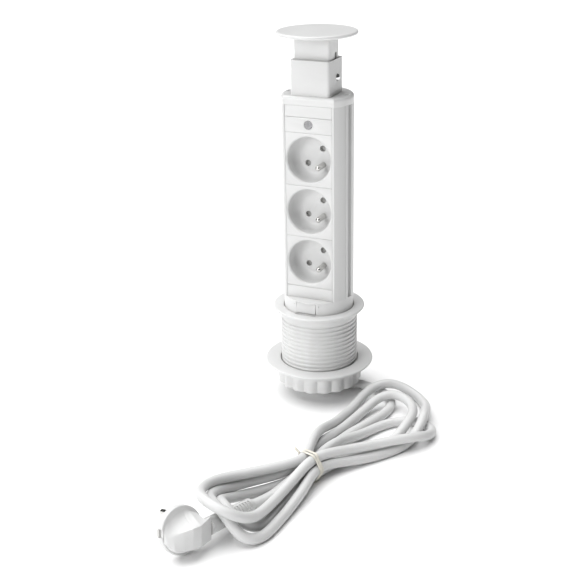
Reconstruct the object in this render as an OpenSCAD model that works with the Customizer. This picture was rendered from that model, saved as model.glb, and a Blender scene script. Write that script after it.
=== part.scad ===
// Pull-up desk socket tower: a three-outlet column that slides through a threaded collar,
// with a telescoping lid, a clamp ring and nut for the desk hole, and a tied mains cord.
// Millimetres, +Z up. The origin is on the column's axis, on the surface the foot stands on.

/* [Column] */
// Radius of the column's round back
column_r = 30.4; // [29:0.1:30.5]
// Distance from the axis to the column's flat front
front_y = 20.4; // [19:0.1:21]
// Wall of the column profile
wall = 2.2; // [1.8:0.1:2.6]
// Side of one square socket module
module_pitch = 45; // [44:0.5:46]
// Number of outlets in the column
outlets = 3; // [1:1:3]

/* [Outlets] */
// Radius of the round plug recess
recess_r = 19.5; // [19:0.1:20]
// Depth of the plug recess
recess_depth = 15; // [14:0.5:16]
// Distance between the two contact holes
contact_spacing = 19; // [18.5:0.1:19.5]
// Radius of the earth pin and of the plug's pins
pin_r = 2.4; // [2.3:0.05:2.45]

/* [Collar] */
// Outside radius of the collar's top flange
flange_r = 40; // [38:0.5:44]
// Outside radius of the collar's thread
thread_r = 33.7; // [33.5:0.1:34]
// Pitch of the collar's thread
thread_pitch = 3.85; // [3:0.05:4.5]
// Outside radius of the clamp ring
ring_r = 47.7; // [45:0.1:50]
// Number of finger hollows round the clamp nut
nut_lobes = 18; // [12:1:24]

/* [Lid] */
// Radius of the lid disc
lid_r = 33.5; // [32:0.5:38]
// How far the lid's neck telescopes
lid_travel = 16; // [8:1:16]

/* [Cord] */
// Diameter of the mains cord
cord_d = 8; // [7:0.5:8]
// Radius of the plug's face
plug_r = 18.5; // [18:0.5:19.5]
// Length of the plug's pins
pin_len = 19; // [18:0.5:19]

/* [Hidden] */
$fn = 96;
eps = 0.01;
// Heights of the parts, from the bottom up
foot_h = 11;
nut_h = 18.4;
ring_z = foot_h + nut_h + 0.3;
ring_t = 2.0;
ring_bore_r = 34.8;
flange_z = 80.6;
flange_t = 2.5;
base_z = 13;
base_top = 94.3;
stack_z = 105.5;
panel_z = stack_z + outlets * module_pitch;
blank_z = panel_z + 13;
cap_z = blank_z + 9.8;
cap_h = 7.2;
sleeve_z = cap_z + cap_h;
sleeve_h = 28.8;
lid_z = sleeve_z + sleeve_h + 18.4;
lid_t = 3.8;
// Collar and column fits
lip_r = 30.9;
tube_r = 31.6;
thread_root = 32.8;
stop_r = 31.3;
base_r = 30.3;
foot_r = 15;
// Socket modules
module_w = 41.6;
module_gap = 0.2;
plate_t = 2.4;
cup_r = 20.7;
cup_floor = 2.8;
cup_back_y = -front_y + recess_depth + cup_floor;
contact_o = contact_spacing / 2 / sqrt(2);
hole_r = 2.6;
// Neck
neck_cy = -2;
sleeve_w = 34.6;
sleeve_d = 30;
post_w = 31.6;
post_d = 20.6;
post_low = sleeve_z + 8;
screw_y = 1;
screw_z = sleeve_z + 13.4;
// Latch
latch_w = 17.4;
latch_low = 84.2;
latch_top = 93;
latch_pin_y = -27.2;
latch_pin_z = 91.2;
// Gland, plug and boot places
exit_angle = 15;
gland_z = 5.4;
gland_start = 14;
gland_len = 20;
clamp_z = 30;
// Bars behind the outlets
bar_y = 10.4;
bar_t = 1.2;
bar_low = 98;
plug_at = [7, -275.7, plug_r - 0.6];
plug_turn = 67;
plug_tilt = -16;
plug_roll = 14;
outlet_back = 9.5;
outlet_out = 19;
tie_at = [54, -151, 11];
tie_turn = -17;

// The cord's route, from the gland's tip to the boot's free end. It goes out to the loops on
// the right, and passes the tie seven times before it ends in the plug.
cord_route = [
    [33, 9, 5.4], [42, 10, 4.4], [52, 7, 4.1], [64, 0, 4.1], [73, -12, 4.1], [75, -28, 4.1],
    [70, -50, 4.1], [61, -75, 4.1], [55, -100, 4.1], [51, -125, 4.1], [49.8, -152, 4.1],
    [42, -170, 4.1], [30, -187, 4.2], [20, -203, 6.5], [16.5, -219, 12], [20, -234, 19.5],
    [28, -243, 23.4], [38, -246, 17], [47, -239, 7.8], [50.6, -224, 4.3], [50.6, -205, 4.1],
    [53.5, -178, 4.1], [57.9, -152, 4.1],
    [67, -127, 4.1], [82, -102, 4.1], [95, -82, 4.6], [102, -58, 11], [101, -38, 12.6],
    [93, -21, 11], [80, -13, 12.6], [67, -19, 12], [58, -36, 6], [53, -60, 4.1], [50, -80, 5],
    [47.5, -100, 8], [46, -125, 10.8], [45.8, -152, 11.2],
    [37, -171, 11.5], [24, -188, 12], [15, -204, 14], [10, -221, 18.5], [13, -237, 23],
    [22, -248, 25.2], [33, -252.5, 23], [42, -255.5, 13], [52, -252, 6.2], [57.5, -238, 4.1],
    [59.6, -212, 4.1], [61, -180, 7.5], [61.8, -152, 11.2],
    [74, -130, 8], [92, -106, 4.2], [107, -82, 4.1], [112, -60, 8], [111, -36, 12.4],
    [102, -8, 6], [86, 8, 6], [66, 7, 12.5], [52, -10, 11], [46, -38, 5], [43.5, -70, 7.6],
    [42.5, -100, 15], [46, -125, 18.8], [49.8, -152, 18.3],
    [41, -170, 19.8], [28, -186, 20.5], [15, -203, 22.5], [6, -221, 25.5], [6.5, -239, 28.5],
    [15, -252, 31.5], [27, -257.5, 31], [37, -258, 28.5], [46, -251.5, 22.5], [49.5, -238, 17],
    [50.5, -214, 13], [52.5, -185, 14], [57.8, -152, 18.3],
    [68, -132, 16.5], [84, -110, 13.5], [103, -90, 13], [118, -73, 11], [123, -54, 5.5],
    [112, -39, 4.1], [94, -41, 4.1], [80, -55, 4.1], [69, -80, 5.5], [61, -105, 11],
    [55.5, -130, 12], [53.8, -152, 11.2], [48.5, -171, 9.6], [42, -188, 5], [36, -202, 4.4],
    [31.5, -211, 5.2]
];
cord_sides = 8;
cord_rings = 80;

// ---------- shared shapes ----------

// A rod between two points
module rod(a, b, r) {
    d = b - a;
    flat = sqrt(d[0] * d[0] + d[1] * d[1]);
    translate(a)
        rotate([0, atan2(flat, d[2]), atan2(d[1], d[0])])
            cylinder(r = r, h = norm(d), $fn = 32);
}

// A box with rounded upright corners, centred on x and y
module round_box(w, d, h, r) {
    linear_extrude(h)
        union() {
            square([w - 2 * r, d], center = true);
            square([w, d - 2 * r], center = true);
            for (sx = [-1, 1], sy = [-1, 1])
                translate([sx * (w / 2 - r), sy * (d / 2 - r)])
                    circle(r, $fn = 32);
        }
}

// A cylinder lying along Y, from y1 back to y2
module bore_y(r, y1, y2) {
    translate([0, y2, 0])
        rotate([90, 0, 0])
            cylinder(r = r, h = y2 - y1);
}

// The half plane behind a front line, as a wide square
module behind(y) {
    translate([-50, y])
        square([100, 100]);
}

// ---------- collar, ring and nut ----------

module collar_outline() {
    ridges = floor((flange_z - 7 - (foot_h + 3)) / thread_pitch);
    difference() {
        union() {
            translate([tube_r, foot_h + 2])
                square([thread_root - tube_r, flange_z - foot_h - 1]);
            translate([tube_r, flange_z - 6])
                square([thread_r - tube_r, 7]);
            for (i = [0 : ridges - 1])
                translate([0, foot_h + 4 + i * thread_pitch])
                    polygon([[thread_root - 0.2, 0], [thread_r, 0.9], [thread_r, 2.1],
                        [thread_root - 0.2, 3]]);
            translate([lip_r, flange_z - 2.5])
                square([flange_r - 1.2 - lip_r, flange_t + 2.5]);
            translate([lip_r, flange_z])
                square([flange_r - 0.8 - lip_r, flange_t - 0.4]);
            translate([flange_r - 1.25, flange_z + flange_t / 2])
                circle(flange_t / 2, $fn = 32);
        }
        translate([thread_r, flange_z - 10])
            square([10, 10]);
    }
}

module threaded_collar() {
    color("whitesmoke")
        difference() {
            rotate_extrude()
                collar_outline();
            translate([-latch_w / 2 - 0.6, -lip_r - 0.8, flange_z - 3])
                cube([latch_w + 1.2, 5, flange_t + 4]);
        }
}

module clamp_ring() {
    color("white")
        translate([0, 0, ring_z])
            rotate_extrude()
                union() {
                    translate([ring_bore_r, 0])
                        square([ring_r - ring_t / 2 - ring_bore_r, ring_t]);
                    translate([ring_r - ring_t / 2, ring_t / 2])
                        circle(ring_t / 2, $fn = 32);
                }
}

module clamp_nut() {
    color("white")
        translate([0, 0, foot_h])
            difference() {
                union() {
                    cylinder(r = 36.8, h = nut_h);
                    translate([0, 0, nut_h - 5])
                        cylinder(r = 37.4, h = 5);
                }
                translate([0, 0, -1])
                    cylinder(r = thread_r + 0.4, h = nut_h + 2);
                for (i = [0 : nut_lobes - 1])
                    rotate([0, 0, (i + 0.5) * 360 / nut_lobes])
                        translate([39.6, 0, -1])
                            cylinder(r = 4, h = nut_h - 4.5, $fn = 32);
            }
}

// ---------- column ----------

module profile_outline() {
    rib_x = 25.2;
    difference() {
        union() {
            difference() {
                intersection() {
                    circle(column_r);
                    behind(-front_y);
                }
                intersection() {
                    circle(column_r - wall);
                    behind(-front_y + 2);
                }
            }
            intersection() {
                circle(column_r - 0.5);
                for (s = [-1, 1])
                    translate([s > 0 ? rib_x : -rib_x - 5, -8.5])
                        square([5, 10]);
            }
        }
        translate([-module_w / 2 - module_gap, -front_y - 1])
            square([module_w + 2 * module_gap, 4]);
        for (s = [-1, 1])
            translate([s > 0 ? column_r - 2.9 : -column_r - 2, -6])
                square([4.9, 5]);
        for (s = [-1, 1])
            translate([s * column_r * cos(19), -column_r * sin(19)])
                circle(0.45, $fn = 24);
    }
}

module column_profile() {
    color("whitesmoke")
        translate([0, 0, base_top])
            linear_extrude(cap_z - base_top)
                profile_outline();
}

module top_cap() {
    fillet = 3;
    color("white")
        difference() {
            translate([0, 0, cap_z])
                intersection() {
                    rotate_extrude()
                        union() {
                            square([column_r - fillet, cap_h]);
                            square([column_r, cap_h - fillet]);
                            translate([column_r - fillet, cap_h - fillet])
                                circle(fillet, $fn = 48);
                        }
                    rotate([90, 0, 90])
                        translate([0, 0, -40])
                            linear_extrude(80)
                                union() {
                                    translate([-front_y + fillet, 0])
                                        square([60, cap_h]);
                                    translate([-front_y, 0])
                                        square([60, cap_h - fillet]);
                                    translate([-front_y + fillet, cap_h - fillet])
                                        circle(fillet, $fn = 48);
                                }
                }
            translate([0, neck_cy, cap_z - 1])
                round_box(post_w + 0.8, post_d + 0.8, cap_h + 2, 2.4);
            for (s = [-1, 1])
                translate([s * 26, 0, cap_z + cap_h - 3])
                    cylinder(r = 1.8, h = 4);
        }
}

module cap_screws() {
    color("silver")
        for (s = [-1, 1])
            translate([s * 26, 0, cap_z + cap_h - 3])
                difference() {
                    cylinder(r = 1.8, h = 2.6);
                    translate([0, 0, 1.4])
                        cylinder(r = 0.9, h = 2, $fn = 6);
                }
}

// The column's lower end: a round cup that stays in the collar, with a foot hub below it
module base_cap() {
    color("white")
        difference() {
            union() {
                translate([0, 0, base_z])
                    cylinder(r = base_r, h = base_top - base_z);
                translate([0, 0, flange_z - 9])
                    cylinder(r = stop_r, h = 6);
                cylinder(r = foot_r, h = base_z + 1);
                rotate([0, 0, exit_angle])
                    translate([0, 0, gland_z])
                        rotate([0, 90, 0])
                            cylinder(r = 5, h = foot_r);
            }
            difference() {
                translate([0, 0, base_z + 3])
                    cylinder(r = base_r - wall, h = base_top - base_z - 5.3);
                latch_block();
                clamp_block();
            }
            translate([0, 0, -1])
                cylinder(r = foot_r - 4, h = base_z + 6);
            rotate([0, 0, exit_angle])
                translate([0, 0, gland_z])
                    rotate([0, 90, 0])
                        cylinder(r = 4.1, h = 40);
            translate([-12, 5, base_top - 4])
                cube([32, 13, 6]);
            latch_pocket();
            for (s = [-1, 1])
                translate([s * 10, 0, clamp_z])
                    bore_y(1.2, -1, 11);
        }
}

// The block behind the cord that the clamp bar is screwed to
module clamp_block() {
    translate([-14, 4.3, base_z])
        cube([28, 6, 24]);
}

// The two cheeks that carry the latch's pin
module latch_block() {
    for (s = [-1, 1])
        translate([s > 0 ? latch_w / 2 + 0.3 : -latch_w / 2 - 3.8, -30, 82])
            cube([3.5, 8, base_top - 82]);
}

module latch_pocket() {
    translate([-latch_w / 2 - 0.3, -33, latch_low - 0.6])
        cube([latch_w + 0.6, 12, latch_top - latch_low + 0.9]);
    translate([0, latch_pin_y, latch_pin_z])
        rotate([0, 90, 0])
            cylinder(r = 1, h = latch_w + 6, center = true);
}

module base_plate() {
    color("white")
        difference() {
            cylinder(r = foot_r - 4, h = 1.2);
            for (s = [-1, 1])
                translate([0, s * 7, -1])
                    cylinder(r = 1.1, h = 3);
        }
}

module base_screws() {
    color("silver")
        for (s = [-1, 1])
            translate([0, s * 7, 0])
                cylinder(r = 1.1, h = 4);
}

// A flat-fronted filler or panel that snaps between the profile's lips
module front_plate(z, h) {
    translate([-module_w / 2, -front_y, z + module_gap / 2])
        cube([module_w, plate_t, h - module_gap]);
}

module lower_blank() {
    color("white")
        difference() {
            front_plate(base_top, stack_z - base_top);
            translate([-30, -front_y - 1, stack_z - 0.6])
                cube([60, 1.5, 1]);
        }
}

module upper_blank() {
    color("white")
        front_plate(blank_z, cap_z - blank_z);
}

module screw_panel() {
    color("white")
        difference() {
            front_plate(panel_z, blank_z - panel_z);
            translate([0, 0, panel_z + 7])
                bore_y(1.8, -front_y - 1, -front_y + 4);
            translate([0, -front_y, panel_z + 7])
                rotate([-90, 0, 0])
                    cylinder(r = 3.9, h = 1);
        }
}

module panel_screw() {
    color("dimgray")
        translate([0, -front_y, panel_z + 7])
            rotate([-90, 0, 0])
                difference() {
                    union() {
                        translate([0, 0, 0.2])
                            cylinder(r = 3.7, h = 0.8);
                        translate([0, 0, 0.9])
                            cylinder(r = 1.8, h = 9);
                    }
                    for (a = [0, 90])
                        rotate([0, 0, a])
                            translate([-2, -0.4, -0.5])
                                cube([4, 0.8, 1.2]);
                }
}

// ---------- outlets ----------

function outlet_z(i) = stack_z + (i - 0.5) * module_pitch;

module socket(i) {
    color("white")
        translate([0, 0, outlet_z(i)])
            difference() {
                union() {
                    translate([-module_w / 2, -front_y, -module_pitch / 2 + module_gap / 2])
                        cube([module_w, plate_t, module_pitch - module_gap]);
                    bore_y(cup_r, -front_y + 0.1, cup_back_y);
                }
                bore_y(recess_r, -front_y - 1, -front_y + recess_depth);
                translate([0, -front_y - eps, 0])
                    rotate([-90, 0, 0])
                        cylinder(r1 = recess_r + 1, r2 = recess_r, h = 1);
                for (s = [-1, 1])
                    translate([s * contact_o, 0, s * contact_o])
                        bore_y(hole_r, -front_y, 1);
                translate([contact_o + 0.4, 0, -contact_o - 0.4])
                    bore_y(pin_r, -front_y, 1);
            }
}

module socket_back(i) {
    w = 34;
    t = 1.5;
    color("gainsboro")
        translate([0, 0, outlet_z(i)])
            difference() {
                translate([-w / 2, cup_back_y + 0.05, -w / 2])
                    cube([w, 11.8, w]);
                translate([-w / 2 + t, cup_back_y - 1, -w / 2 + t])
                    cube([w - 2 * t, 11.3, w - 2 * t]);
                for (s = [-1, 1])
                    translate([s * contact_o, 0, s * contact_o])
                        bore_y(1.4, 0, 20);
                translate([contact_o + 0.4, 0, -contact_o - 0.4])
                    bore_y(pin_r + 0.1, 0, 20);
            }
}

// The bar that covers both contact holes from behind until a plug pushes it aside
module shutter(i) {
    color("lightgray")
        translate([0, cup_back_y + 0.4, outlet_z(i)])
            rotate([0, -45, 0])
                translate([-12.2, 0, -3.1])
                    cube([24.4, 1.5, 6.2]);
}

module earth_pins() {
    color("silver")
        for (i = [1 : outlets])
            translate([contact_o + 0.4, 0, outlet_z(i) - contact_o - 0.4])
                union() {
                    bore_y(pin_r, -front_y + 3.5, 12);
                    translate([0, -front_y + 3.5, 0])
                        sphere(r = pin_r);
                }
}

module bar(x, y, w) {
    translate([x - w / 2, y, bar_low])
        cube([w, bar_t, panel_z - bar_low - 4]);
}

module live_bar() {
    color("peru")
        union() {
            bar(14, bar_y, 4);
            for (i = [1 : outlets])
                translate([contact_o - 2.5, bar_y, outlet_z(i) + contact_o - 2.5])
                    cube([8, bar_t, 5]);
        }
}

module neutral_bar() {
    color("peru")
        bar(-contact_o, bar_y, 5);
}

module earth_bar() {
    color("peru")
        bar(contact_o + 0.4, 12, 5);
}

module contact_clips() {
    color("goldenrod")
        for (i = [1 : outlets], s = [-1, 1])
            translate([s * contact_o, 0, outlet_z(i) + s * contact_o])
                difference() {
                    union() {
                        bore_y(3.3, 0.2, 7.5);
                        bore_y(1.25, 7.4, bar_y);
                    }
                    bore_y(2.3, -1, 6.5);
                }
}

module inner_leads() {
    color("saddlebrown") lead(14, 10.9, 3);
    color("royalblue") lead(-contact_o, 10.9, -3);
    color("yellowgreen") lead(contact_o + 0.4, 12.6, 0.2);
}

// One insulated lead, from the cord's tail up to the foot of its bar
module lead(x, y, start_x) {
    a = [start_x, 0, 42.1];
    b = [start_x, 0, 48];
    c = [x, y, 80];
    union() {
        rod(a, b, 1.3);
        translate(b) sphere(r = 1.6, $fn = 32);
        rod(b, c, 1.3);
        translate(c) sphere(r = 1.6, $fn = 32);
        rod(c, [x, y, bar_low], 1.3);
    }
}

// ---------- cord entry ----------

module cord_tail() {
    color("whitesmoke")
        union() {
            translate([0, 0, gland_z])
                cylinder(r = 3.9, h = 42 - gland_z);
            translate([0, 0, gland_z])
                sphere(r = 3.9);
            rotate([0, 0, exit_angle])
                translate([0, 0, gland_z])
                    rotate([0, 90, 0])
                        cylinder(r = 3.9, h = gland_start);
        }
}

module cord_clamp() {
    color("white")
        difference() {
            translate([-14, -10, clamp_z - 4])
                cube([28, 6, 8]);
            for (s = [-1, 1])
                translate([s * 10, 0, clamp_z])
                    bore_y(1.4, -12, 0);
        }
}

module clamp_screws() {
    color("silver")
        for (s = [-1, 1])
            translate([s * 10, 0, clamp_z])
                union() {
                    bore_y(1.2, -10.1, 9.5);
                    bore_y(2.4, -12, -10);
                }
}

module cord_gland() {
    color("white")
        rotate([0, 0, exit_angle])
            translate([gland_start, 0, gland_z])
                rotate([0, 90, 0])
                    union() {
                        cylinder(r = 4.1, h = 2);
                        translate([0, 0, 1])
                            cylinder(r1 = 5.2, r2 = 4.2, h = gland_len - 1);
                    }
}

// ---------- release latch ----------

module release_latch() {
    color("white")
        translate([-latch_w / 2, 0, 0])
            rotate([90, 0, 90])
                difference() {
                    linear_extrude(latch_w)
                        union() {
                            polygon([[-28.9, latch_top], [-29.9, latch_low],
                                [-27.6, latch_low], [-25.6, latch_top]]);
                            translate([latch_pin_y, latch_pin_z])
                                circle(1.8, $fn = 48);
                        }
                    translate([latch_pin_y, latch_pin_z, -1])
                        cylinder(r = 1.06, h = latch_w + 2);
                }
}

module latch_pin() {
    color("silver")
        translate([0, latch_pin_y, latch_pin_z])
            rotate([0, 90, 0])
                cylinder(r = 1, h = latch_w + 5, center = true);
}

// ---------- neck and lid ----------

module neck_sleeve() {
    color("white")
        translate([0, neck_cy, sleeve_z])
            difference() {
                round_box(sleeve_w, sleeve_d, sleeve_h, 2.5);
                translate([0, 0, -1])
                    round_box(post_w + 0.8, post_d + 0.8, sleeve_h + 2, 2.4);
                translate([0, screw_y - neck_cy, screw_z - sleeve_z])
                    rotate([0, 90, 0])
                        cylinder(r = 1.6, h = 60, center = true);
            }
}

module neck_post() {
    color("white")
        difference() {
            translate([0, neck_cy, post_low])
                difference() {
                    round_box(post_w, post_d, lid_z - post_low, 2);
                    translate([0, 0, -1])
                        round_box(post_w - 5, post_d - 5, lid_z - post_low - 3, 1.5);
                }
            translate([-30, screw_y - 2, screw_z - 2.1])
                cube([60, 4, lid_travel + 6.5]);
            for (s = [-1, 1])
                translate([s * 9, neck_cy, lid_z - 6])
                    cylinder(r = 1.5, h = 8);
        }
}

module guide_screws() {
    color("silver")
        for (s = [-1, 1])
            translate([s * sleeve_w / 2, screw_y, screw_z])
                rotate([0, s * 90, 0])
                    union() {
                        translate([0, 0, -3])
                            cylinder(r = 1.5, h = 3.5);
                        intersection() {
                            translate([0, 0, -1.6])
                                sphere(r = 3.6);
                            cylinder(r = 5, h = 4);
                        }
                    }
}

module lid() {
    color("white")
        translate([0, 0, lid_z])
            difference() {
                rotate_extrude()
                    union() {
                        square([lid_r - 1.4, lid_t]);
                        polygon([[0, 0], [lid_r - 4, 0], [lid_r, 1.6], [lid_r, 2.4], [0, 2.4]]);
                        translate([lid_r - 1.4, 2.4])
                            circle(1.4, $fn = 32);
                    }
                for (s = [-1, 1])
                    translate([s * 9, neck_cy, -1])
                        cylinder(r = 1.5, h = 3.2);
            }
}

module lid_screws() {
    color("silver")
        for (s = [-1, 1])
            translate([s * 9, neck_cy, lid_z - 4.8])
                union() {
                    cylinder(r = 1.4, h = 6.6);
                    translate([0, 0, -1.4])
                        cylinder(r = 2.6, h = 1.5);
                }
}

// ---------- plug ----------

// Places a shape that has its face at x = 0 looking along -X, its body along +X and its cord
// leaving along +Y, as the plug lies
module as_plug_lies() {
    translate(plug_at)
        rotate([-plug_roll, plug_tilt, plug_turn - 90])
            children();
}

module plug_body() {
    color("white")
        as_plug_lies()
            difference() {
                union() {
                    rotate([0, 90, 0])
                        cylinder(r = plug_r, h = 6);
                    intersection() {
                        translate([5, 0, 0])
                            rotate([90, 0, 0])
                                linear_extrude(60, center = true)
                                    polygon([[0, -15], [0, 15], [8, 11], [14.5, 9], [14.5, -9],
                                        [8, -11]]);
                        linear_extrude(60, center = true)
                            polygon([[4, -15], [8, -15], [19, 2], [19, 6], [15, outlet_out],
                                [4, outlet_out]]);
                    }
                }
                for (s = [-1, 1])
                    translate([-1, 0, s * contact_spacing / 2])
                        rotate([0, 90, 0])
                            cylinder(r = pin_r - 0.5, h = 9);
                translate([-1, -10, 0])
                    rotate([0, 90, 0])
                        cylinder(r = 2.5, h = 20);
                for (s = [-1, 1])
                    translate([-1, s * 17.6 - 1.5, -3])
                        cube([7.5, 3, 6]);
            }
}

module plug_pins() {
    color("silver")
        as_plug_lies()
            for (s = [-1, 1])
                translate([0, 0, s * contact_spacing / 2])
                    rotate([0, -90, 0])
                        union() {
                            translate([0, 0, -8])
                                cylinder(r = pin_r - 0.5, h = 9);
                            cylinder(r = pin_r, h = pin_len - 1);
                            translate([0, 0, pin_len - 1])
                                cylinder(r1 = pin_r, r2 = pin_r - 1, h = 1);
                        }
}

module earth_clips() {
    color("silver")
        as_plug_lies()
            for (s = [-1, 1])
                translate([0, s * 17.1 - 0.5, -2.5])
                    cube([2.6, 1, 5]);
}

module plug_boot() {
    ribs = 9;
    boot_len = norm(boot_way);
    rib_step = boot_len / (ribs + 3);
    color("white")
        translate(boot_from)
            rotate([0, 90 - boot_rise, boot_turn])
                difference() {
                    cylinder(r1 = 6.6, r2 = 5.6, h = boot_len);
                    for (i = [1 : ribs])
                        translate([0, 0, (i + 2) * rib_step])
                            rotate_extrude()
                                translate([4.9, -0.9])
                                    square([5, 1.8]);
                }
}

// The boot runs from the plug's outlet down to the cord's end
function plug_point(x, y, z) =
    let (
        y1 = y * cos(plug_roll) + z * sin(plug_roll),
        z1 = -y * sin(plug_roll) + z * cos(plug_roll),
        x2 = x * cos(plug_tilt) + z1 * sin(plug_tilt),
        z2 = -x * sin(plug_tilt) + z1 * cos(plug_tilt),
        t = plug_turn - 90
    )
    [plug_at[0] + x2 * cos(t) - y1 * sin(t), plug_at[1] + x2 * sin(t) + y1 * cos(t),
        plug_at[2] + z2];

boot_from = plug_point(outlet_back, outlet_out, 0);
boot_to = cord_route[len(cord_route) - 1];
boot_way = boot_to - boot_from;
boot_turn = atan2(boot_way[1], boot_way[0]);
boot_rise = atan2(boot_way[2], sqrt(boot_way[0] * boot_way[0] + boot_way[1] * boot_way[1]));

// ---------- cord ----------

// A point on the smooth curve through the route, at a parameter that counts its points
function route_point(u) =
    let (
        n = len(cord_route) - 1,
        i = min(floor(u), n - 1),
        t = u - i,
        p1 = cord_route[i],
        p2 = cord_route[i + 1],
        p0 = i > 0 ? cord_route[i - 1] : 2 * p1 - p2,
        p3 = i < n - 1 ? cord_route[i + 2] : 2 * p2 - p1
    )
    0.5 * (2 * p1 + (p2 - p0) * t + (2 * p0 - 5 * p1 + 4 * p2 - p3) * t * t
        + (3 * p1 - p0 - 3 * p2 + p3) * t * t * t);

function unit(v) = v / norm(v);

module cord() {
    n = len(cord_route) - 1;
    rings = [for (i = [0 : cord_rings - 1]) i * n / (cord_rings - 1)];
    points = [for (u = rings)
        let (
            way = unit(route_point(min(n, u + 0.05)) - route_point(max(0, u - 0.05))),
            side = unit(cross(way, [0, 0, 1])),
            up = cross(side, way)
        )
        for (k = [0 : cord_sides - 1])
            route_point(u)
                + cord_d / 2 * (cos(k * 360 / cord_sides) * side
                + sin(k * 360 / cord_sides) * up)
    ];
    last = len(rings) - 1;
    faces = concat(
        [[for (k = [0 : cord_sides - 1]) k]],
        [for (r = [0 : last - 1], k = [0 : cord_sides - 1])
            let (a = r * cord_sides + k, b = r * cord_sides + (k + 1) % cord_sides)
            [a, a + cord_sides, b + cord_sides, b]],
        [[for (k = [cord_sides - 1 : -1 : 0]) last * cord_sides + k]]
    );
    color("whitesmoke")
        polyhedron(points = points, faces = faces);
}

module cord_tie() {
    color("antiquewhite")
        translate(tie_at)
            rotate([0, 0, tie_turn])
                rotate([90, 0, 0])
                    translate([0, 0, -1.5])
                        difference() {
                            cylinder(r = 13.4, h = 3);
                            translate([0, 0, -1])
                                cylinder(r = 12.4, h = 5);
                            translate([-20, -tie_at[2] - 20 + 0.05, -1])
                                cube([40, 20, 5]);
                        }
}

threaded_collar();
clamp_ring();
clamp_nut();
column_profile();
top_cap();
cap_screws();
base_cap();
base_plate();
base_screws();
lower_blank();
socket(1);  // socket_1
socket(2);  // socket_2
socket(3);  // socket_3
socket_back(1);  // socket_back_1
socket_back(2);  // socket_back_2
socket_back(3);  // socket_back_3
shutter(1);  // shutter_1
shutter(2);  // shutter_2
shutter(3);  // shutter_3
screw_panel();
panel_screw();
upper_blank();
earth_pins();
earth_bar();
live_bar();
neutral_bar();
contact_clips();
inner_leads();
cord_tail();
cord_clamp();
clamp_screws();
cord_gland();
release_latch();
latch_pin();
neck_sleeve();
neck_post();
guide_screws();
lid();
lid_screws();
plug_body();
plug_pins();
earth_clips();
plug_boot();
cord();
cord_tie();
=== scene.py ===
"""The looks of a pull-up desk socket tower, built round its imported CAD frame.
Shapes are given in millimetres, and MM turns them into metres where their points are made.
The camera and the lights are in metres."""
import math

import bmesh
import bpy
from mathutils import Matrix, Vector


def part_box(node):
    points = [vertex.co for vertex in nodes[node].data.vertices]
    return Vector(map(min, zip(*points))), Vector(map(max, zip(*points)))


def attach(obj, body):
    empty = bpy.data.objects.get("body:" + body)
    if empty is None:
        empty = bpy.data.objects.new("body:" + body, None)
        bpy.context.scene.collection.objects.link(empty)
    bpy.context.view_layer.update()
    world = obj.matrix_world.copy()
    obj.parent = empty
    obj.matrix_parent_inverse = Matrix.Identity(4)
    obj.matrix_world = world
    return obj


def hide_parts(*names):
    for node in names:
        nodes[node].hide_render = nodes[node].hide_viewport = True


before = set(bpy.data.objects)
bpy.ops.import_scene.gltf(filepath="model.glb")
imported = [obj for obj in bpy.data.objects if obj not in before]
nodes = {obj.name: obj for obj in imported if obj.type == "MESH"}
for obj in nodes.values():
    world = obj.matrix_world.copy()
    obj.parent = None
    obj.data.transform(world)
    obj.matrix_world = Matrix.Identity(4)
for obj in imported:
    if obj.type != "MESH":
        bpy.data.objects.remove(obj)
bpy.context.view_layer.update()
MM = 0.001
scene = bpy.context.scene


# ---------- camera ----------

CAMERA_AT = Vector((0.3659, -0.8720, 0.4736))
FOCAL_MM, SENSOR_MM = 72.36, 36
AZIMUTH, PITCH, YAW, ROLL = (math.radians(a) for a in (22.765, 21.682, 1.673, -1.016))
heading = AZIMUTH + YAW
forward = Vector((
    -math.sin(heading) * math.cos(PITCH),
    math.cos(heading) * math.cos(PITCH),
    -math.sin(PITCH),
))
level = forward.cross(Vector((0, 0, 1))).normalized()
upright = level.cross(forward)
right = math.cos(ROLL) * level + math.sin(ROLL) * upright
up = -math.sin(ROLL) * level + math.cos(ROLL) * upright

lens = bpy.data.cameras.new("camera")
lens.lens, lens.sensor_width = FOCAL_MM, SENSOR_MM
lens.clip_start, lens.clip_end = 0.01, 50
camera = bpy.data.objects.new("camera", lens)
scene.collection.objects.link(camera)
turned = Matrix((right, up, -forward)).transposed().to_4x4()
camera.matrix_world = Matrix.Translation(CAMERA_AT) @ turned
scene.camera = camera
scene.view_settings.view_transform = "Standard"


# ---------- the cord's line ----------

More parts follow.
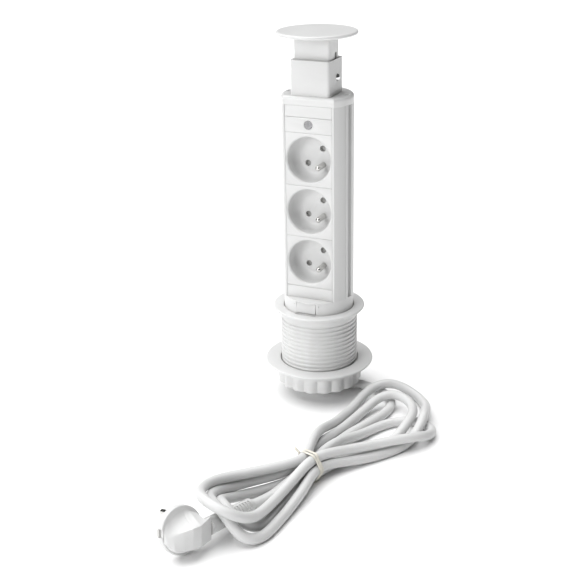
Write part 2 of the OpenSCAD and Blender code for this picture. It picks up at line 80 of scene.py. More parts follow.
CORD_D_MM = 8
route_mm = [
    (33, 9, 5.4), (42, 10, 4.4), (52, 7, 4.1), (64, 0, 4.1), (73, -12, 4.1), (75, -28, 4.1),
    (70, -50, 4.1), (61, -75, 4.1), (55, -100, 4.1), (51, -125, 4.1), (49.8, -152, 4.1),
    (42, -170, 4.1), (30, -187, 4.2), (20, -203, 6.5), (16.5, -219, 12), (20, -234, 19.5),
    (28, -243, 23.4), (38, -246, 17), (47, -239, 7.8), (50.6, -224, 4.3), (50.6, -205, 4.1),
    (53.5, -178, 4.1), (57.9, -152, 4.1),
    (67, -127, 4.1), (82, -102, 4.1), (95, -82, 4.6), (102, -58, 11), (101, -38, 12.6),
    (93, -21, 11), (80, -13, 12.6), (67, -19, 12), (58, -36, 6), (53, -60, 4.1), (50, -80, 5),
    (47.5, -100, 8), (46, -125, 10.8), (45.8, -152, 11.2),
    (37, -171, 11.5), (24, -188, 12), (15, -204, 14), (10, -221, 18.5), (13, -237, 23),
    (22, -248, 25.2), (33, -252.5, 23), (42, -255.5, 13), (52, -252, 6.2), (57.5, -238, 4.1),
    (59.6, -212, 4.1), (61, -180, 7.5), (61.8, -152, 11.2),
    (74, -130, 8), (92, -106, 4.2), (107, -82, 4.1), (112, -60, 8), (111, -36, 12.4),
    (102, -8, 6), (86, 8, 6), (66, 7, 12.5), (52, -10, 11), (46, -38, 5), (43.5, -70, 7.6),
    (42.5, -100, 15), (46, -125, 18.8), (49.8, -152, 18.3),
    (41, -170, 19.8), (28, -186, 20.5), (15, -203, 22.5), (6, -221, 25.5), (6.5, -239, 28.5),
    (15, -252, 31.5), (27, -257.5, 31), (37, -258, 28.5), (46, -251.5, 22.5), (49.5, -238, 17),
    (50.5, -214, 13), (52.5, -185, 14), (57.8, -152, 18.3),
    (68, -132, 16.5), (84, -110, 13.5), (103, -90, 13), (118, -73, 11), (123, -54, 5.5),
    (112, -39, 4.1), (94, -41, 4.1), (80, -55, 4.1), (69, -80, 5.5), (61, -105, 11),
    (55.5, -130, 12), (53.8, -152, 11.2), (48.5, -171, 9.6), (42, -188, 5), (36, -202, 4.4),
    (31.5, -211, 5.2)
]


def smooth_curve(name, points, depth, resolution):
    """A round tube along one open spline, with the same even tangents as the CAD route."""
    data = bpy.data.curves.new(name, "CURVE")
    data.dimensions = "3D"
    data.bevel_depth, data.bevel_resolution = depth, resolution
    data.resolution_u = 3
    data.use_fill_caps = True
    spline = data.splines.new("BEZIER")
    spline.bezier_points.add(len(points) - 1)
    last = len(points) - 1
    for i, (bezier, p) in enumerate(zip(spline.bezier_points, points)):
        before = points[i - 1] if i else 2 * p - points[1]
        after = points[i + 1] if i < last else 2 * p - points[i - 1]
        bezier.handle_left_type = bezier.handle_right_type = "FREE"
        bezier.co = p
        bezier.handle_left = p - (after - before) / 6
        bezier.handle_right = p + (after - before) / 6
    piece = bpy.data.objects.new(name, data)
    scene.collection.objects.link(piece)
    return piece


def evened(points, step_mm=5.0, rounds=30):
    """The route resampled at even steps, then smoothed without shrinking its loops much."""
    samples, shrink, regrow = 24, 0.5, -0.51
    lowest = CORD_D_MM / 2 + 0.05
    fine = []
    for i in range(len(points) - 1):
        a, b = points[i], points[i + 1]
        before = points[i - 1] if i else 2 * a - b
        after = points[i + 2] if i + 2 < len(points) else 2 * b - a
        squared = 2 * before - 5 * a + 4 * b - after
        cubed = 3 * a - before - 3 * b + after
        for k in range(samples):
            t = k / samples
            fine.append(0.5 * (2 * a + (b - before) * t + squared * t * t + cubed * t ** 3))
    fine.append(points[-1])
    total = sum((q - p).length for p, q in zip(fine, fine[1:]))
    count = round(total / step_mm)
    path, run, want = [fine[0]], 0.0, total / count
    for p, q in zip(fine, fine[1:]):
        gap = (q - p).length
        while run + gap >= want * len(path) and len(path) < count:
            path.append(p.lerp(q, (want * len(path) - run) / gap))
        run += gap
    path.append(fine[-1])
    for turn in range(2 * rounds):
        pull = regrow if turn % 2 else shrink
        moved = [p.copy() for p in path]
        for i in range(2, len(path) - 2):
            moved[i] = path[i] + pull * ((path[i - 1] + path[i + 1]) / 2 - path[i])
            moved[i].z = max(moved[i].z, lowest)
        path = moved
    return path


cord_path = [p * MM for p in evened([Vector(p) for p in route_mm])]
cord = smooth_curve("mains_cord", cord_path, CORD_D_MM / 2 * MM, 8)


# ---------- materials ----------

class Nodes:
    """Builds one material, node by node."""

    def __init__(self, name):
        self.material = bpy.data.materials.new(name)
        self.material.use_nodes = True
        self.tree = self.material.node_tree
        self.shader = self.tree.nodes["Principled BSDF"]
        self.place = self.add("ShaderNodeTexCoord").outputs["Object"]

    def add(self, kind, inputs=(), **settings):
        node = self.tree.nodes.new(kind)
        for key, value in settings.items():
            setattr(node, key, value)
        for key, value in dict(inputs).items():
            if isinstance(value, bpy.types.NodeSocket):
                self.tree.links.new(value, node.inputs[key])
            else:
                node.inputs[key].default_value = value
        return node

    def noise(self, scale, detail=3.0, stretch=None):
        place = self.place
        if stretch:
            place = self.add("ShaderNodeMapping", {"Vector": place, "Scale": stretch}).outputs[0]
        return self.add("ShaderNodeTexNoise", {"Vector": place, "Scale": scale, "Detail": detail}).outputs[0]

    def spread(self, value, low, high, from_low=0.35, from_high=0.65):
        ends = {0: value, 1: from_low, 2: from_high, 3: low, 4: high}
        return self.add("ShaderNodeMapRange", ends).outputs[0]

    def hollows(self, distance_mm):
        """One where the surface is open, and less where it faces other surfaces closely: the mask for
        painted shade in hollows.
        """
        reach = {"Distance": distance_mm * MM}
        return self.add("ShaderNodeAmbientOcclusion", reach, samples=8).outputs["AO"]

    def total(self, a, b):
        return self.add("ShaderNodeMath", {0: a, 1: b}, operation="ADD").outputs[0]

    def mix(self, amount, a, b):
        node = self.add("ShaderNodeMix", data_type="RGBA")
        for socket, value in zip((node.inputs[0], node.inputs[6], node.inputs[7]), (amount, a, b)):
            if isinstance(value, bpy.types.NodeSocket):
                self.tree.links.new(value, socket)
            else:
                socket.default_value = value if isinstance(value, float) else (*value, 1)
        return node.outputs[2]

    def set(self, **sockets):
        for key, value in sockets.items():
            socket = self.shader.inputs[key.replace("_", " ")]
            if isinstance(value, bpy.types.NodeSocket):
                self.tree.links.new(value, socket)
            else:
                socket.default_value = value

    def bump(self, height, distance_mm, strength=1.0):
        depth = {"Height": height, "Distance": distance_mm * MM, "Strength": strength}
        node = self.add("ShaderNodeBump", depth)
        self.tree.links.new(node.outputs[0], self.shader.inputs["Normal"])


def tint(colour, k):
    return tuple(min(1.0, c * k) for c in colour)


def moulded(name, colour, rough, grain_mm=0.35, grain=0.012, coat=0.0, depth=0.05):
    """Injection-moulded plastic: faint flow mottling, a spark-eroded grain, and painted shade darkening its
    hollows.
    """
    n = Nodes(name)
    flow = n.noise(28, 4, (1, 1, 2.4))
    fine = n.noise(1000 / grain_mm, 2)
    wide = n.spread(n.noise(11, 2), 0.0, 1.0)
    colour_a = n.mix(n.spread(flow, 0.0, 1.0), tint(colour, 1 - depth), tint(colour, 1.0))
    # Painted shade: the occlusion mask darkens the base colour where surfaces face each other closely.
    unshaded = n.spread(n.hollows(6), 0.0, 1.0, 0.25, 0.95)
    painted_shade = (colour[0] * 0.93, colour[1] * 0.925, colour[2] * 0.915)
    n.set(
        Base_Color=n.mix(unshaded, painted_shade, colour_a),
        Roughness=n.spread(wide, rough - 0.04, rough + 0.05, 0, 1),
        Coat_Weight=coat,
        Coat_Roughness=0.18,
        IOR=1.5,
    )
    n.bump(fine, grain, 0.6)
    return n.material


def coated(name, colour):
    """Powder-coated aluminium: fine orange peel over faint extrusion lines."""
    n = Nodes(name)
    peel = n.noise(700, 3)
    lines = n.noise(160, 2, (1, 1, 0.01))
    n.set(
        Base_Color=n.mix(n.spread(lines, 0.0, 1.0), tint(colour, 0.965), colour),
        Roughness=n.spread(peel, 0.34, 0.46),
        Coat_Weight=0.15,
        Coat_Roughness=0.25,
    )
    n.bump(n.total(peel, lines), 0.02, 0.7)
    return n.material


def metal(name, colour, rough, lines=(1, 1, 1), scratch=0.006):
    """Plated metal with handling scratches and a slightly uneven plate."""
    n = Nodes(name)
    brushed = n.noise(420, 4, lines)
    cloud = n.noise(90, 3)
    n.set(
        Base_Color=n.mix(n.spread(cloud, 0.0, 1.0), tint(colour, 0.82), colour),
        Roughness=n.spread(brushed, rough * 0.75, rough * 1.35),
        Metallic=1.0,
    )
    n.bump(brushed, scratch, 0.6)
    return n.material


def flexible(name, colour, rough):
    """Soft cable sheath: lengthways draw marks, a slightly waxy bloom, and painted shade where it faces
    other surfaces closely.
    """
    n = Nodes(name)
    bloom = n.noise(34, 4)
    fine = n.noise(900, 3)
    # Painted shade: the occlusion mask darkens the sheath where strands and parts lie close together.
    unshaded = n.spread(n.hollows(8), 0.0, 1.0, 0.2, 0.95)
    base = n.mix(n.spread(bloom, 0.0, 1.0), tint(colour, 0.955), colour)
    n.set(
        Base_Color=n.mix(unshaded, tint(colour, 0.92), base),
        Roughness=n.spread(bloom, rough - 0.05, rough + 0.06),
        Sheen_Weight=0.08,
        IOR=1.48,
    )
    n.bump(fine, 0.03, 0.6)
    return n.material


def paper(name, colour):
    """The paper tape of a wire tie: short fibres and soft creases."""
    n = Nodes(name)
    fibres = n.noise(1500, 4, (1, 1, 0.35))
    creases = n.noise(240, 3)
    n.set(
        Base_Color=n.mix(n.spread(creases, 0.0, 1.0), tint(colour, 0.82), colour),
        Roughness=0.78,
        Sheen_Weight=0.15,
    )
    n.bump(n.total(fibres, creases), 0.06, 0.8)
    return n.material


WHITE = (0.665, 0.667, 0.665)
white = moulded("moulded_white", WHITE, 0.34, coat=0.12)
satin = moulded("satin_white", tint(WHITE, 0.985), 0.42, grain_mm=0.5, grain=0.02, coat=0.05)
soft_white = moulded("soft_white", tint(WHITE, 0.97), 0.48, grain_mm=0.3, grain=0.015)
grey = moulded("inner_grey", (0.42, 0.42, 0.415), 0.55, depth=0.1)
column_coat = coated("column_coat", (0.645, 0.647, 0.645))
chrome = metal("bright_chrome", (0.82, 0.82, 0.83), 0.10)
zinc = metal("zinc_plate", (0.60, 0.61, 0.62), 0.30)
dark_zinc = metal("dark_zinc", (0.30, 0.30, 0.305), 0.28)
nickel = metal("nickel_pin", (0.66, 0.655, 0.64), 0.16, (1, 0.05, 1), 0.003)
copper = metal("bare_copper", (0.75, 0.42, 0.24), 0.32)
sheath = flexible("cord_sheath", tint(WHITE, 0.975), 0.44)
tape = paper("tie_paper", (0.74, 0.71, 0.63))


# ---------- mesh helpers ----------

def piece_from(name, mesh, material, sharp=35):
    mesh.materials.clear()
    mesh.materials.append(material)
    for face in mesh.polygons:
        face.use_smooth = True
        face.material_index = 0
    mesh.set_sharp_from_angle(angle=math.radians(sharp))
    piece = bpy.data.objects.new(name, mesh)
    scene.collection.objects.link(piece)
    return piece


def applied(piece, sharp):
    """The piece with its modifiers worked into its own mesh."""
    bpy.context.view_layer.update()
    done = bpy.data.meshes.new_from_object(piece.evaluated_get(bpy.context.evaluated_depsgraph_get()))
    piece.modifiers.clear()
    piece.data = done
    for face in done.polygons:
        face.use_smooth = True
    done.set_sharp_from_angle(angle=math.radians(sharp))
    return piece


def bevelled(piece, width_mm, sharp=40):
    """The piece with a small radius on every edge that turns by more than 28 degrees."""
    bevel = piece.modifiers.new("edge", "BEVEL")
    bevel.width, bevel.segments = width_mm * MM, 3
    bevel.limit_method, bevel.angle_limit = "ANGLE", math.radians(28)
    bevel.miter_outer = "MITER_ARC"
    weighted = piece.modifiers.new("normals", "WEIGHTED_NORMAL")
    weighted.keep_sharp = True
    return applied(piece, sharp)


def cut(piece, cutters, sharp):
    """Takes the cutters out of the piece."""
    for cutter in cutters:
        boolean = piece.modifiers.new("cut", "BOOLEAN")
        boolean.operation, boolean.solver, boolean.object = "DIFFERENCE", "EXACT", cutter
    applied(piece, sharp)
    for cutter in cutters:
        bpy.data.objects.remove(cutter)
    return piece


def block(low_mm, high_mm, place=Matrix.Identity(4)):
    """A plain box between two corners, used only to cut with."""
    bm = bmesh.new()
    bmesh.ops.create_cube(bm, size=1)
    for v in bm.verts:
        spot = [low + (c + 0.5) * (high - low) for c, low, high in zip(v.co, low_mm, high_mm)]
        v.co = place @ (Vector(spot) * MM)
    bmesh.ops.recalc_face_normals(bm, faces=bm.faces)
    mesh = bpy.data.meshes.new("cutter")
    bm.to_mesh(mesh)
    bm.free()
    cutter = bpy.data.objects.new("cutter", mesh)
    scene.collection.objects.link(cutter)
    return cutter


def skin(name, rows, material, round_again=False, sharp=35):
    """A skin over loops of points. The last loop joins the first, or else both ends are capped."""
    bm = bmesh.new()
    verts = [[bm.verts.new(p) for p in row] for row in rows]
    count = len(rows[0])
    pairs = list(zip(verts, verts[1:])) + ([(verts[-1], verts[0])] if round_again else [])
    for a, b in pairs:
        for k in range(count):
            j = (k + 1) % count
            bm.faces.new((a[k], a[j], b[j], b[k]))
    if not round_again:
        bm.faces.new(list(reversed(verts[0])))
        bm.faces.new(verts[-1])
    bmesh.ops.remove_doubles(bm, verts=bm.verts, dist=1e-6)
    bmesh.ops.recalc_face_normals(bm, faces=bm.faces)
    mesh = bpy.data.meshes.new(name)
    bm.to_mesh(mesh)
    bm.free()
    return piece_from(name, mesh, material, sharp)


def polar(r, a, z):
    return Vector((r * math.cos(a), r * math.sin(a), z))


def lathe(name, profile_mm, material, steps, place=Matrix.Identity(4), sharp=35):
    """A closed (radius, height) outline turned about Z."""
    rows = []
    for i in range(steps):
        a = 2 * math.pi * i / steps
        rows.append([place @ (polar(r, a, z) * MM) for r, z in profile_mm])
    return skin(name, rows, material, round_again=True, sharp=sharp)


def arc(cx, cz, r, start, end, steps):
    """Points along part of a circle, from one angle in degrees to another."""
    angles = [math.radians(start + (end - start) * i / steps) for i in range(steps + 1)]
    return [(cx + r * math.cos(a), cz + r * math.sin(a)) for a in angles]


def rounded(node, material, width_mm):
    """A copy of a CAD part with its sharp edges rounded as a mould leaves them."""
    mesh = nodes[node].data.copy()
    bm = bmesh.new()
    bm.from_mesh(mesh)
    bmesh.ops.remove_doubles(bm, verts=bm.verts, dist=1e-5)
    bmesh.ops.dissolve_limit(bm, angle_limit=math.radians(0.6), verts=bm.verts, edges=bm.edges)
    bm.to_mesh(mesh)
    bm.free()
    return bevelled(piece_from(node + "_moulded", mesh, material), width_mm)


def soften(node, material, body, slot, width_mm):
    """Puts the rounded copy in the place of the CAD part."""
    return settle(rounded(node, material, width_mm), body, slot, node)


def settle(piece, body, slot, *replaced):
    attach(piece, body)
    if replaced:
        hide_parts(*replaced)
    return piece


def repaint(node, material):
    mesh = nodes[node].data
    mesh.materials.clear()
    mesh.materials.append(material)
    for face in mesh.polygons:
        face.material_index = 0


# ---------- collar with its screw thread ----------

def threaded_collar():
    """The collar: a plain bore, a rounded flange, and one helical ridge down its outside."""
    pitch, root, crest = 3.85, 32.8, 33.7
    thread_low, thread_high, foot = 14.0, 74.5, 13.0
    flange_top, flange_under, flange_r = 83.1, 80.6, 40.0
    edge_r = (flange_top - flange_under) / 2
    bore, lip_bore, lip_low = 31.6, 30.9, 77.9
    steps, fine = 144, 0.32

    def ridge(turns):
        """How far the ridge stands, from 0 to 1, at a place along one pitch."""
        start, end, flank = 0.2, 0.9, 0.16
        f = turns % 1
        if f < start or f > end:
            return 0.0
        return min(1.0, (f - start) / flank, (end - f) / flank)

    heights = []
    z = thread_high
    while z > thread_low:
        heights.append(z)
        z -= fine
    rows = []
    for i in range(steps):
        share = i / steps
        a = 2 * math.pi * share
        outline = [(bore, foot + 0.4), (bore, lip_low), (lip_bore, lip_low + 0.2)]
        outline += [(lip_bore, flange_top - 0.5), (lip_bore + 0.3, flange_top - 0.1), (bore, flange_top)]
        outline += [(36, flange_top)] + arc(flange_r - edge_r, flange_top - edge_r, edge_r, 90, -90, 10)
        outline += [(34.6, flange_under), (34.0, flange_under - 0.15), (crest + 0.05, flange_under - 0.6)]
        outline += [(crest, flange_under - 1.2), (crest, thread_high + 2.0), (crest, thread_high + 0.7)]
        for h in heights:
            fade = min(1.0, (h - thread_low) / 2.5)
            top = max(0.0, (h - (thread_high - 2.0)) / 2.0)
            depth = max(ridge(h / pitch - share) * fade, top)
            outline.append((root + (crest - root) * depth, h))
        outline += [(root, foot + 0.5), (root - 0.3, foot + 0.1), (root - 0.6, foot)]
        outline.append((bore + 0.3, foot + 0.05))
        rows.append([polar(r, a, h) * MM for r, h in outline])
    piece = skin("collar_shell", rows, white, round_again=True, sharp=50)
    latch_gap = block((-9.3, -31.7, 77.6), (9.3, -26.7, 90))
    cut(piece, [latch_gap], sharp=50)
    settle(piece, "collar", "white_plastic", "threaded_collar")


threaded_collar()


def clamp_ring():
    """The flat ring that the nut pushes up against the desk."""
    bore, rim, low, high, corner = 34.8, 47.7, 29.7, 31.7, 0.2
    edge_r = (high - low) / 2
    profile = [(bore, low + corner), (bore + corner, low), (rim - edge_r, low)]
    profile += arc(rim - edge_r, low + edge_r, edge_r, -90, 90, 8)
    profile += [(40, high), (bore + corner, high), (bore, high - corner)]
    settle(lathe("washer_ring", profile, white, 160), "ring", "white_plastic", "clamp_ring")


clamp_ring()


def clamp_nut():
    """The nut: a plain band at the top over a ring of finger hollows."""
    low, high, bore, rim, lobes = 11.0, 29.4, 34.1, 37.3, 18
    hollow, band_low, band_high = 2.0, 11.4, 13.4
    steps = lobes * 16
    levels = [0.0, 0.25, 0.7, 1.5, 3, 5, 7, 9, 10.5]
    levels += [11.6, 12.4, 12.9, 13.3, 13.6, 14.2, 16, 17.9, 18.25, 18.4]
    rows = []
    for i in range(steps):
        a = 2 * math.pi * i / steps
        wave = 0.5 + 0.5 * math.cos(lobes * a)
        valley = 1 - wave ** 0.55
        row = [polar(bore, a, h) * MM for h in (high - 0.4, low + 0.5)]
        for h in levels:
            band = max(0.0, min(1.0, (h - band_low) / (band_high - band_low)))
            band = band * band * (3 - 2 * band)
            r = rim - hollow * valley * (1 - band)
            if h < 0.8:
                r -= 0.8 * (1 - h / 0.8) ** 2
            if h > 17.8:
                r -= 0.5 * ((h - 17.8) / 0.6) ** 2
            row.append(polar(r, a, low + h) * MM)
        row.append(polar(bore + 0.9, a, high) * MM)
        rows.append(row)
    piece = skin("finger_nut", rows, white, round_again=True, sharp=60)
    settle(piece, "nut", "white_plastic", "clamp_nut")


clamp_nut()


# ---------- column ----------

soften("column_profile", column_coat, "column", "column_coat", 0.35)
soften("top_cap", white, "column", "white_plastic", 0.35)
soften("base_cap", white, "column", "white_plastic", 0.4)
soften("lower_blank", white, "column", "white_plastic", 0.35)
soften("upper_blank", white, "column", "white_plastic", 0.35)
soften("screw_panel", white, "column", "white_plastic", 0.35)


def socket(node):
    """An outlet: the CAD part, with a fillet laid round the foot of its recess."""
    front_y, wall, floor_at, foot_r, bedded = -20.4, 19.47, 14.97, 7.0, 0.23
    low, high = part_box(node)
    piece = rounded(node, white, 0.35)
    inward = Matrix.Rotation(math.radians(-90), 4, "X")
    centre = Matrix.Translation(Vector((0, front_y * MM, (low.z + high.z) / 2))) @ inward
    brim = floor_at - foot_r - 0.1
    outline = [(wall + bedded, brim), (wall + 0.01, brim)]
    outline += arc(wall - foot_r, floor_at - foot_r, foot_r, 0, 90, 14)
    outline += [(wall - foot_r, floor_at + bedded), (wall + bedded, floor_at + bedded)]
    ring = lathe("recess_foot", outline, white, 128, centre, sharp=40)
    bm = bmesh.new()
    bm.from_mesh(piece.data)
    bm.from_mesh(ring.data)
    bm.to_mesh(piece.data)
    bm.free()
    piece.data.set_sharp_from_angle(angle=math.radians(40))
    bpy.data.objects.remove(ring)
    settle(piece, "column", "white_plastic", node)


for i in (1, 2, 3):
    socket("socket_%d" % i)
soften("neck_sleeve", satin, "column", "white_plastic", 0.6)
soften("neck_post", satin, "lid", "white_plastic", 0.6)
soften("release_latch", white, "latch", "white_plastic", 0.5)
lid_outline = [(0.0, 317.7), (26.0, 317.7), (29.5, 317.75)] + arc(32.1, 319.9, 1.4, -58, 90, 10)
lid_outline += [(30.5, 321.32), (26, 321.42), (12, 321.5), (0.0, 321.5)]
settle(lathe("lid_disc", lid_outline, white, 160, sharp=50), "lid", "white_plastic", "lid")

for name, material in {
    "base_plate": satin, "socket_back_1": grey, "socket_back_2": grey, "socket_back_3": grey,
    "shutter_1": grey, "shutter_2": grey, "shutter_3": grey, "cord_clamp": satin,
    "cap_screws": zinc, "base_screws": zinc, "clamp_screws": zinc, "latch_pin": zinc, "lid_screws": zinc,
    "panel_screw": dark_zinc, "guide_screws": chrome, "earth_pins": nickel, "earth_clips": nickel,
    "earth_bar": copper, "live_bar": copper, "neutral_bar": copper, "contact_clips": copper,
    "inner_leads": sheath, "cord_tail": sheath,
}.items():
    repaint(name, material)


# ---------- cord entry ----------

def strain_relief():
    """A tapered, ribbed sleeve that the cord leaves through."""
    start, end, z = 14.0, 34.0, 5.4
    root_r, taper, ribs, groove = 5.15, 0.85, 6, 0.45
    turn = Matrix.Rotation(math.radians(15), 4, "Z")
    steps, around = 90, 40
    rows = []
    for i in range(steps + 1):
        s = i / steps
        x = start + (end - start) * s
        r = root_r - taper * s
        rib = (s * ribs) % 1
        if 0.12 < s < 0.93 and 0.3 < rib < 0.62:
            r -= groove
        if s > 0.97:
            r -= 0.25 * ((s - 0.97) / 0.03) ** 2
        angles = [2 * math.pi * k / around for k in range(around)]
        rows.append([turn @ (Vector((x, r * math.cos(a), z + r * math.sin(a))) * MM) for a in angles])
    piece = skin("strain_relief", rows, soft_white, sharp=50)
    settle(piece, "column", "white_plastic", "cord_gland")


strain_relief()


# ---------- plug ----------

PLUG_AT_MM = Vector((7, -275.7, 17.9))
PLUG_TURN, PLUG_TILT, PLUG_ROLL = (math.radians(a) for a in (-23, -16, -14))
plug_place = (
    Matrix.Translation(PLUG_AT_MM * MM)
    @ Matrix.Rotation(PLUG_TURN, 4, "Z")
    @ Matrix.Rotation(PLUG_TILT, 4, "Y")
    @ Matrix.Rotation(PLUG_ROLL, 4, "X")
)
AXIS_X = Matrix.Rotation(math.radians(90), 4, "Y")


def between(x, table):
    """A value read from a short table of (x, value), with straight lines between."""
    for (x0, v0), (x1, v1) in zip(table, table[1:]):
        if x <= x1:
            return v0 + (v1 - v0) * max(0.0, (x - x0) / (x1 - x0))
    return table[-1][1]


def plug():
    """The plug: a thick round face with earth notches, and a grip with a ridge and dished flanks.
    In its own axes the face looks along -X, and the cord leaves along +Y."""
    face_r, rear, tip, tail = 17.7, 5.9, -15.6, 19.3
    front_r, rear_r, foot_x = 1.0, 1.2, 5.2
    profile = [(0.001, 0.0), (face_r - front_r - 0.1, 0.0)]
    profile += arc(face_r - front_r, front_r, front_r, -90, 0, 5)
    profile += arc(face_r - rear_r, rear - rear_r, rear_r, 0, 80, 5)
    profile += [(face_r - 2.0, rear - 0.1), (0.001, rear - 0.3)]
    face = lathe("plug_housing", profile, white, 120, plug_place @ AXIS_X, sharp=40)
    notch_in, notch_out, notch_half = 16.3, 20, 2.9
    notches = [
        block((-1, y_low, -notch_half), (rear + 0.6, y_high, notch_half), plug_place)
        for y_low, y_high in ((-notch_out, -notch_in), (notch_in, notch_out))
    ]
    cut(face, notches, sharp=40)
    ridge = [
        (tip, 6.6, -3.1), (-14.5, 7.8, -2.8), (-11, 10.6, -1.5), (-5, 15.0, 0.8),
        (0.5, 18.2, 2.8), (2.5, 18.5, 3.2), (7, 18.6, 4.0), (tail, 13.4, 8.0),
    ]
    shoulder = [
        (tip, 6.2, -7.0), (-14.5, 8.4, -8.6), (-11, 12.6, -12.0), (-5, 15.2, -12.8),
        (1, 16.9, -12.0), (7, 18.0, -10.9), (tail, 13.4, -8.4),
    ]
    rows = []
    even = {tip + (tail - tip) * i / 59 for i in range(60)}
    for y in sorted(even | {-14.5, -11, -5, 0.5, 1, 2.5, 7}):
        top_x, top_z = (between(y, [(q[0], q[k]) for q in ridge]) for k in (1, 2))
        low_x, low_z = (between(y, [(q[0], q[k]) for q in shoulder]) for k in (1, 2))
        foot = math.sqrt(max(30.0, 16.4 ** 2 - y * y))
        foot = min(foot, between(y, [(2, 16.4), (6, 13.4), (12, 11.0), (tail, 9.0)]))
        dish = between(y, [(tip, 1.3), (-10, 2.1), (1, 2.3), (6, 1.0), (tail, 0.7)])
        loop = []
        for k in range(15):
            loop.append((foot_x + (top_x - foot_x) * (k / 14) ** dish, foot + (top_z - foot) * k / 14))
        for k in range(1, 11):
            bulge = 0.35 * math.sin(math.pi * k / 10)
            loop.append((top_x + (low_x - top_x) * k / 10 + bulge, top_z + (low_z - top_z) * k / 10))
        for k in range(1, 9):
            flank_x = foot_x + (low_x - foot_x) * (1 - k / 8) ** 1.25
            loop.append((flank_x, low_z + (-foot - low_z) * k / 8))
        loop += [(foot_x - 1, -foot * 0.9), (foot_x - 1, foot * 0.9)]
        rows.append([plug_place @ (Vector((x, y, z)) * MM) for x, z in loop])
    grip = skin("plug_grip", rows, white, sharp=180)
    bevelled(grip, 0.6, sharp=17)
    fuse = face.modifiers.new("join", "BOOLEAN")
    fuse.operation, fuse.solver, fuse.object = "UNION", "EXACT", grip
    applied(face, 17)
    bpy.data.objects.remove(grip)
    face.data.materials.clear()
    face.data.materials.append(white)
    return settle(face, "column", "white_plastic", "plug_body")


def round_bar(name, start, end, radius_mm, nose_mm, material):
    """A pin between two points, with a rounded nose at its end."""
    steps = 40
    axis = (end - start).normalized()
    side = axis.orthogonal().normalized()
    other = axis.cross(side)
    length = (end - start).length / MM
    outline = [(radius_mm, 0.0), (radius_mm, length - nose_mm)]
    for a in (math.radians(degrees) for degrees in (20, 40, 60, 80, 90)):
        outline.append((radius_mm + nose_mm * (math.cos(a) - 1), length + nose_mm * (math.sin(a) - 1)))
    angles = [2 * math.pi * k / steps for k in range(steps)]
    rows = []
    for r, h in outline:
        level = start + axis * (h * MM)
        rows.append([level + (side * math.cos(a) + other * math.sin(a)) * (r * MM) for a in angles])
    return skin(name, rows, material, sharp=50)


def plug_pins():
    """The two round pins, seated in the plug's face."""
    pin_r, nose, half_spacing, seat, reach = 2.4, 0.9, 9.5, 3.0, -19.0
    pins = []
    for name, side in (("plug_pin_1", -1), ("plug_pin_3", 1)):
        start, end = (plug_place @ (Vector((x, 0, side * half_spacing)) * MM) for x in (seat, reach))
        pin = round_bar(name, start, end, pin_r, nose, nickel)
        pins.append(settle(pin, "column", "nickel_pin", "plug_pins"))
    return pins


def boot():
    """The plug's bend relief: a tapered sleeve with four rows of slots."""
    root_r, taper, slots, slot_depth = 6.5, 0.95, 15, 1.3
    start = plug_place @ (Vector((9.5, 18.6, 0)) * MM)
    end = Vector(route_mm[-1]) * MM
    axis = (end - start).normalized()
    side = axis.cross(Vector((0, 0, 1))).normalized()
    top = side.cross(axis)
    length = (end - start).length
    steps, around = 150, 64
    rows = []
    for i in range(steps + 1):
        s = i / steps
        r = root_r - taper * s
        if s > 0.98:
            r -= 0.4 * ((s - 0.98) / 0.02) ** 2
        pitch = (s - 0.22) * slots
        in_slot = 0.22 < s < 0.93 and pitch % 1 < 0.46
        row = []
        for k in range(around):
            a = 2 * math.pi * (k + 0.5) / around
            sector = (math.degrees(a) % 90) / 90
            depth = slot_depth if in_slot and 0.14 < sector < 0.86 else 0.0
            outward = side * math.cos(a) + top * math.sin(a)
            row.append(start + axis * (length * s) + outward * ((r - depth) * MM))
        rows.append(row)
    piece = skin("plug_bend_relief", rows, soft_white, sharp=40)
    return settle(piece, "column", "white_plastic", "plug_boot")


plug_housing = plug()
plug_boot = boot()
pins = plug_pins()


# ---------- tie ----------

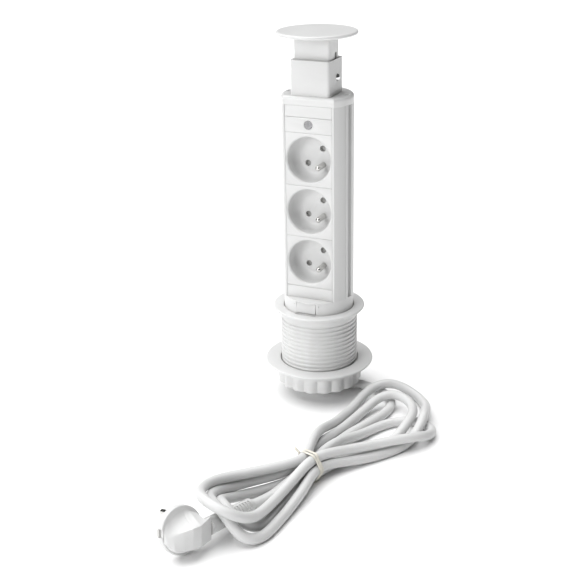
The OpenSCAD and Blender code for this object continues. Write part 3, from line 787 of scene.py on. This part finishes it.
def wire_tie():
    """A paper-covered wire, wound twice round the bundle and twisted off at its upper left."""
    centre = Vector((54, -151, 0))
    bundle_turn = math.radians(17)
    along = Vector((math.sin(bundle_turn), math.cos(bundle_turn), 0))
    across = Vector((along.y, -along.x, 0))
    strands = [(8.2, 11.2), (4.1, 18.3), (-4.1, 18.3), (-8.2, 11.2), (-4.1, 4.1), (4.1, 4.1)]
    middle = Vector((0, 0, 11.2))
    steps, turns, wrap_r, turn_pitch = 90, 2, 4.45, 2.7
    path = []
    for i in range(steps * turns + 1):
        a = 2 * math.pi * i / steps + math.radians(130)
        u, v = max(strands, key=lambda q: q[0] * math.cos(a) + q[1] * math.sin(a))
        x = u + wrap_r * math.cos(a)
        z = max(0.35, v + wrap_r * math.sin(a))
        shift = (i / steps - turns / 2) * turn_pitch + 0.5 * math.sin(2.3 * a)
        path.append(centre + across * x + along * shift + Vector((0, 0, z)))
    tape_half, thick, wire_bead = 1.25, 0.28, 0.22
    rows = []
    for i, p in enumerate(path):
        tangent = (path[min(i + 1, len(path) - 1)] - path[max(i - 1, 0)]).normalized()
        out = tangent.cross(along).normalized()
        if out.dot(p - centre - middle) < 0:
            out = -out
        wide = out.cross(tangent).normalized()
        loop = []
        for k in range(12):
            a = 2 * math.pi * k / 12
            bead = wire_bead * math.exp(-((math.cos(a) * tape_half) / 0.35) ** 2)
            loop.append((p + wide * (tape_half * math.cos(a)) + out * ((thick + bead) * math.sin(a))) * MM)
        rows.append(loop)
    band = skin("tie_band", rows, tape, sharp=60)
    tail_length, tail_turns, tail_steps = 7.0, 2.2, 60
    start = path[0] + Vector((0, 0, 0.4))
    lift = (-across * 0.8 + Vector((0, 0, 0.12)) + along * 0.3).normalized()
    side = lift.cross(along).normalized()
    other = lift.cross(side)
    twist_rows = []
    for i in range(tail_steps + 1):
        s = i / tail_steps
        wound = s * 2 * math.pi * tail_turns
        p = start + lift * (tail_length * s)
        squeeze = 0.9 if s < 0.95 else 0.9 * (1 - (s - 0.95) / 0.05 * 0.5)
        row = []
        for k in range(16):
            a = 2 * math.pi * k / 16
            r = 0.55 + 0.75 * abs(math.cos(a - wound))
            row.append((p + (side * math.cos(a) + other * math.sin(a)) * r * squeeze) * MM)
        twist_rows.append(row)
    tail = skin("tie_twist", twist_rows, tape, sharp=60)
    settle(band, "column", "tie_plastic", "cord_tie")
    settle(tail, "column", "tie_plastic")
    return [band, tail]


tie = wire_tie()

cord.data.materials.append(sheath)
settle(cord, "column", "cord_pvc", "cord")


# ---------- floor and light ----------

def floor():
    """The white sweep under the part, wide enough to fill every view down to the horizon."""
    bm = bmesh.new()
    bmesh.ops.create_grid(bm, x_segments=8, y_segments=8, size=40)
    mesh = bpy.data.meshes.new("floor")
    bm.to_mesh(mesh)
    bm.free()
    n = Nodes("floor_paper")
    cloud = n.noise(1.5, 3)
    n.set(
        Base_Color=n.mix(n.spread(cloud, 0.0, 1.0), (0.93, 0.93, 0.93), (0.95, 0.95, 0.95)),
        Roughness=0.85,
        Specular_IOR_Level=0.15,
    )
    piece_from("floor", mesh, n.material)


def light(name, kind, direction, energy):
    """A lamp that shines along a direction. Its size is set by the caller."""
    data = bpy.data.lights.new(name, kind)
    data.energy = energy
    lamp = bpy.data.objects.new(name, data)
    scene.collection.objects.link(lamp)
    lamp.rotation_euler = direction.to_track_quat("-Z", "Y").to_euler()
    return lamp


floor()
KEY_AT, KEY_AIM = Vector((-1.5, -4.3, 1.8)), Vector((0.02, -0.08, 0.12))
key = light("key", "AREA", KEY_AIM - KEY_AT, 104)
key.location = KEY_AT
key.data.shape, key.data.size = "DISK", 2.2
sky = light("sky_panel", "SUN", Vector((0.32, -0.05, -1)), 4.1)
sky.data.angle = math.radians(80)
world = bpy.data.worlds.new("studio")
world.use_nodes = True
world.node_tree.nodes["Background"].inputs[0].default_value = (1, 1, 1, 1)
world.node_tree.nodes["Background"].inputs[1].default_value = 0.08
scene.world = world
